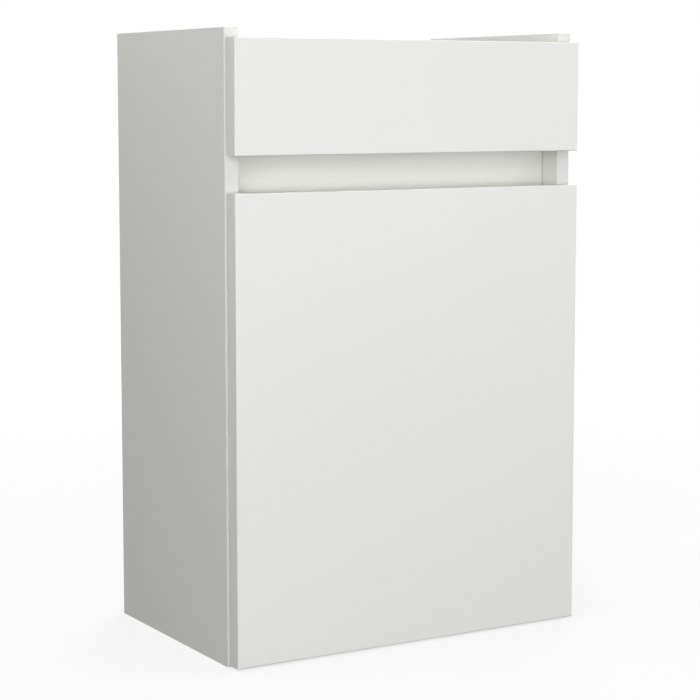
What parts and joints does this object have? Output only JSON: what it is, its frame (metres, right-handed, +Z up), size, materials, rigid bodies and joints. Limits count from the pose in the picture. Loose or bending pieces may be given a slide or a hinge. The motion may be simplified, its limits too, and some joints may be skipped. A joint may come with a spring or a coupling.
{
  "type": "vanity unit",
  "caption": "Wall-hung cloakroom vanity unit with a fixed fascia, a recessed finger grip and a side-hung door on concealed cup hinges.",
  "frame": {"origin": "middle of the footprint at the underside of the side panels and the bottom panel", "axes": "+X to the right seen from the front, +Y to the back (the wall), +Z up; the door and fascia face -Y"},
  "size_m": [0.4, 0.2574, 0.61],
  "materials": {
    "carcass_board": "white melamine-faced board, fine matt texture",
    "front_board": "smooth white lacquered board, soft satin",
    "beech": "bare fluted beech",
    "nickel_steel": "nickel-plated pressed steel",
    "zinc_steel": "bright zinc-plated steel",
    "white_plastic": "white moulded plastic",
    "clear_rubber": "translucent soft pad"
  },
  "bodies": {
    "carcass": {"left_side_panel": "carcass_board", "right_side_panel": "carcass_board", "bottom_panel": "carcass_board", "front_rail": "carcass_board", "grip_rail": "carcass_board", "top_rear_rail": "carcass_board", "bottom_rear_rail": "carcass_board", "shelf": "carcass_board", "shelf_pins": "zinc_steel", "dowels": "beech", "cam_bolts": "zinc_steel", "cam_locks": "zinc_steel", "fascia": "front_board", "fascia_pads": "white_plastic", "fascia_screws": "zinc_steel", "upper_hinge_arm": "nickel_steel", "lower_hinge_arm": "nickel_steel", "upper_hinge_plate": "nickel_steel", "lower_hinge_plate": "nickel_steel", "plate_screws": "zinc_steel", "arm_screws": "zinc_steel", "left_hanger_housing": "white_plastic", "right_hanger_housing": "white_plastic", "left_hanger_hook": "zinc_steel", "right_hanger_hook": "zinc_steel", "hanger_screws": "zinc_steel", "left_wall_plate": "zinc_steel", "right_wall_plate": "zinc_steel"},
    "upper_outer_link_body": {"upper_outer_link": "nickel_steel", "upper_outer_link_pins": "zinc_steel"},
    "door_leaf": {"door": "front_board", "door_buffers": "clear_rubber", "upper_hinge_cup": "nickel_steel", "lower_hinge_cup": "nickel_steel", "cup_screws": "zinc_steel", "cup_pins": "zinc_steel"},
    "lower_outer_link_body": {"lower_outer_link": "nickel_steel", "lower_outer_link_pins": "zinc_steel"},
    "upper_inner_link_body": {"upper_inner_link": "nickel_steel", "upper_inner_link_pin": "zinc_steel"},
    "lower_inner_link_body": {"lower_inner_link": "nickel_steel", "lower_inner_link_pin": "zinc_steel"}
  },
  "joints": [
    {"name": "upper_outer_link_turn", "type": "hinge", "parent": "carcass", "child": "upper_outer_link_body", "pos_m": [0.1635, -0.10225, 0.3605], "axis": [0, 0, 1], "range_deg": [-28.3, 0]},
    {"name": "door_swing", "type": "hinge", "parent": "upper_outer_link_body", "child": "door_leaf", "pos_m": [0.1883, -0.11675, 0.3605], "axis": [0, 0, 1], "range_deg": [0, 123]},
    {"name": "lower_outer_link_turn", "type": "hinge", "parent": "carcass", "child": "lower_outer_link_body", "pos_m": [0.1635, -0.10225, 0.0965], "axis": [0, 0, 1], "range_deg": [-28.3, 0]},
    {"name": "upper_inner_link_turn", "type": "hinge", "parent": "carcass", "child": "upper_inner_link_body", "pos_m": [0.1626, -0.11785, 0.3605], "axis": [0, 0, 1], "range_deg": [-30.8, 0]},
    {"name": "lower_inner_link_turn", "type": "hinge", "parent": "carcass", "child": "lower_inner_link_body", "pos_m": [0.1626, -0.11785, 0.0965], "axis": [0, 0, 1], "range_deg": [-30.8, 0]}
  ],
  "couplings": [
    {"joint": "upper_outer_link_turn", "follows": "door_swing", "ratio": -0.23},
    {"joint": "lower_outer_link_turn", "follows": "door_swing", "ratio": -0.23},
    {"joint": "upper_inner_link_turn", "follows": "door_swing", "ratio": -0.25},
    {"joint": "lower_inner_link_turn", "follows": "door_swing", "ratio": -0.25}
  ]
}
